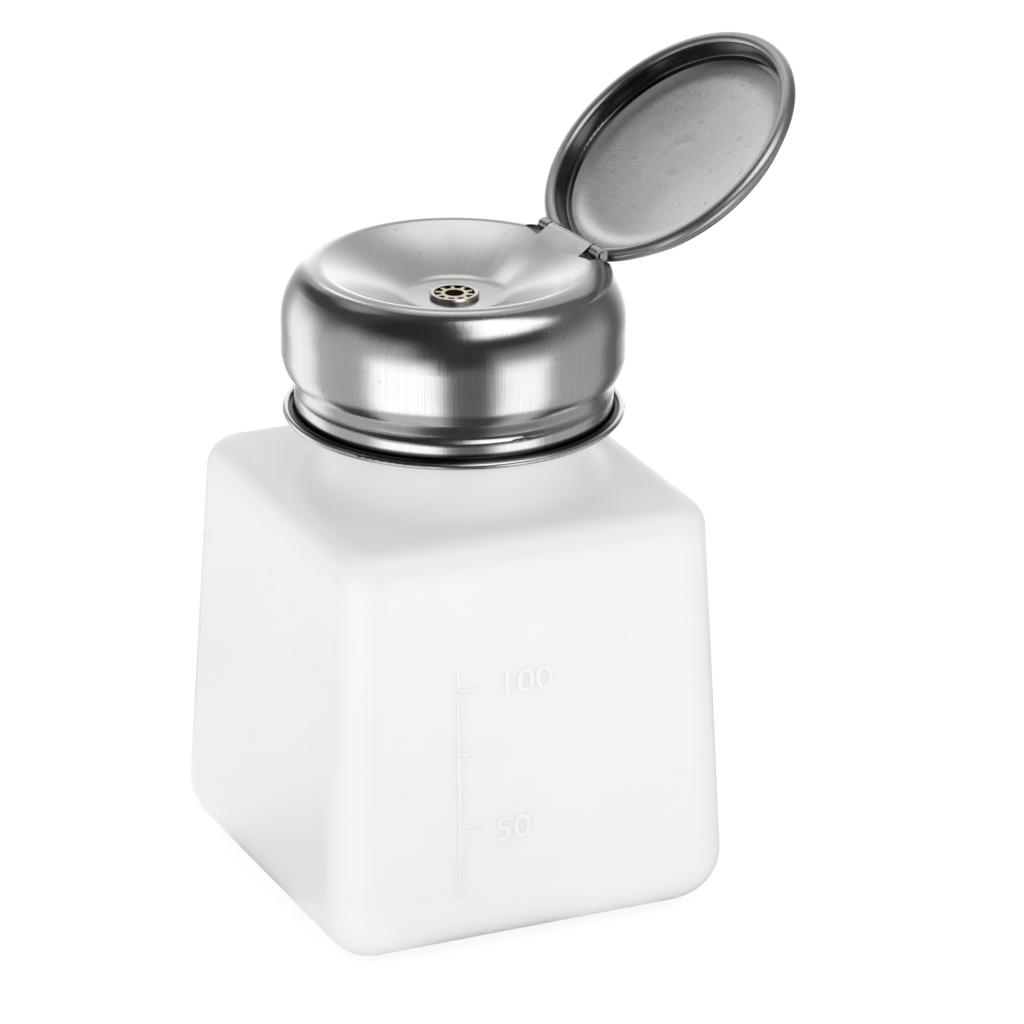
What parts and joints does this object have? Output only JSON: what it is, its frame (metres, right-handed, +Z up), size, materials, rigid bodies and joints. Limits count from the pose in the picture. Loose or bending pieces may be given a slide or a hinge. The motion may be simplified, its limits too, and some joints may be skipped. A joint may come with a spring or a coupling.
{
  "type": "pump dispenser bottle",
  "caption": "Square milky plastic bottle with a steel screw closure, a press-down steel dish pump with a toothed nozzle, and a hinged pan lid that stands open.",
  "frame": {"origin": "centre of the bottle's flat base, on the surface it stands on", "axes": "+Z up through the pump, -Y out of the face with the volume marks, +X towards the lid's hinge, which stands 6.7 degrees off it"},
  "size_m": [0.0752, 0.056, 0.1075],
  "materials": {
    "milky_plastic": "milky, smooth",
    "white_plastic": "moulded",
    "clear_plastic": "clear tube",
    "seal_plastic": "soft, satin",
    "cream_plastic": "moulded, glossy",
    "foam_rubber": "matt",
    "closure_steel": "brushed round",
    "dish_steel": "fine upright grain",
    "lid_steel": "fine grain",
    "nozzle_steel": "turned",
    "pin_steel": "drawn wire",
    "spring_steel": "drawn wire",
    "ball_steel": "polished",
    "nut_brass": "turned"
  },
  "bodies": {
    "bottle": {"bottle": "milky_plastic"},
    "pump": {"pump_barrel": "white_plastic", "stem_guide": "white_plastic", "neck_gasket": "foam_rubber", "inlet_ball": "ball_steel", "ball_retainer": "white_plastic", "return_spring": "spring_steel", "dip_tube": "clear_plastic"},
    "closure": {"closure_collar": "closure_steel", "thread_insert": "white_plastic"},
    "piston": {"piston_seal": "seal_plastic"},
    "head": {"plunger_stem": "white_plastic", "outlet_ball": "ball_steel", "nozzle_collar": "nozzle_steel", "star_insert": "cream_plastic", "clamp_nut": "nut_brass", "dish_seal": "foam_rubber", "dish_head": "dish_steel", "hinge_pin": "pin_steel"},
    "lid": {"lid": "lid_steel"}
  },
  "joints": [
    {"name": "pump_lift", "type": "slide", "parent": "bottle", "child": "pump", "axis": [0, 0, 1], "range_m": [0, 0.07]},
    {"name": "closure_turn", "type": "hinge", "parent": "pump", "child": "closure", "pos_m": [0, 0, 0.068], "axis": [0, 0, 1], "continuous": true},
    {"name": "head_press", "type": "slide", "parent": "pump", "child": "piston", "axis": [0, 0, -1], "range_m": [0, 0.0042], "stiffness_N_per_m": 1000, "springref_m": -0.003, "deforming": ["return_spring"]},
    {"name": "head_turn", "type": "hinge", "parent": "piston", "child": "head", "pos_m": [0, 0, 0.0775], "axis": [0, 0, 1], "continuous": true},
    {"name": "lid_hinge", "type": "hinge", "parent": "head", "child": "lid", "pos_m": [0.01776, 0.00209, 0.08468], "axis": [0.1167, -0.9932, 0], "range_deg": [0, 140.6]}
  ]
}
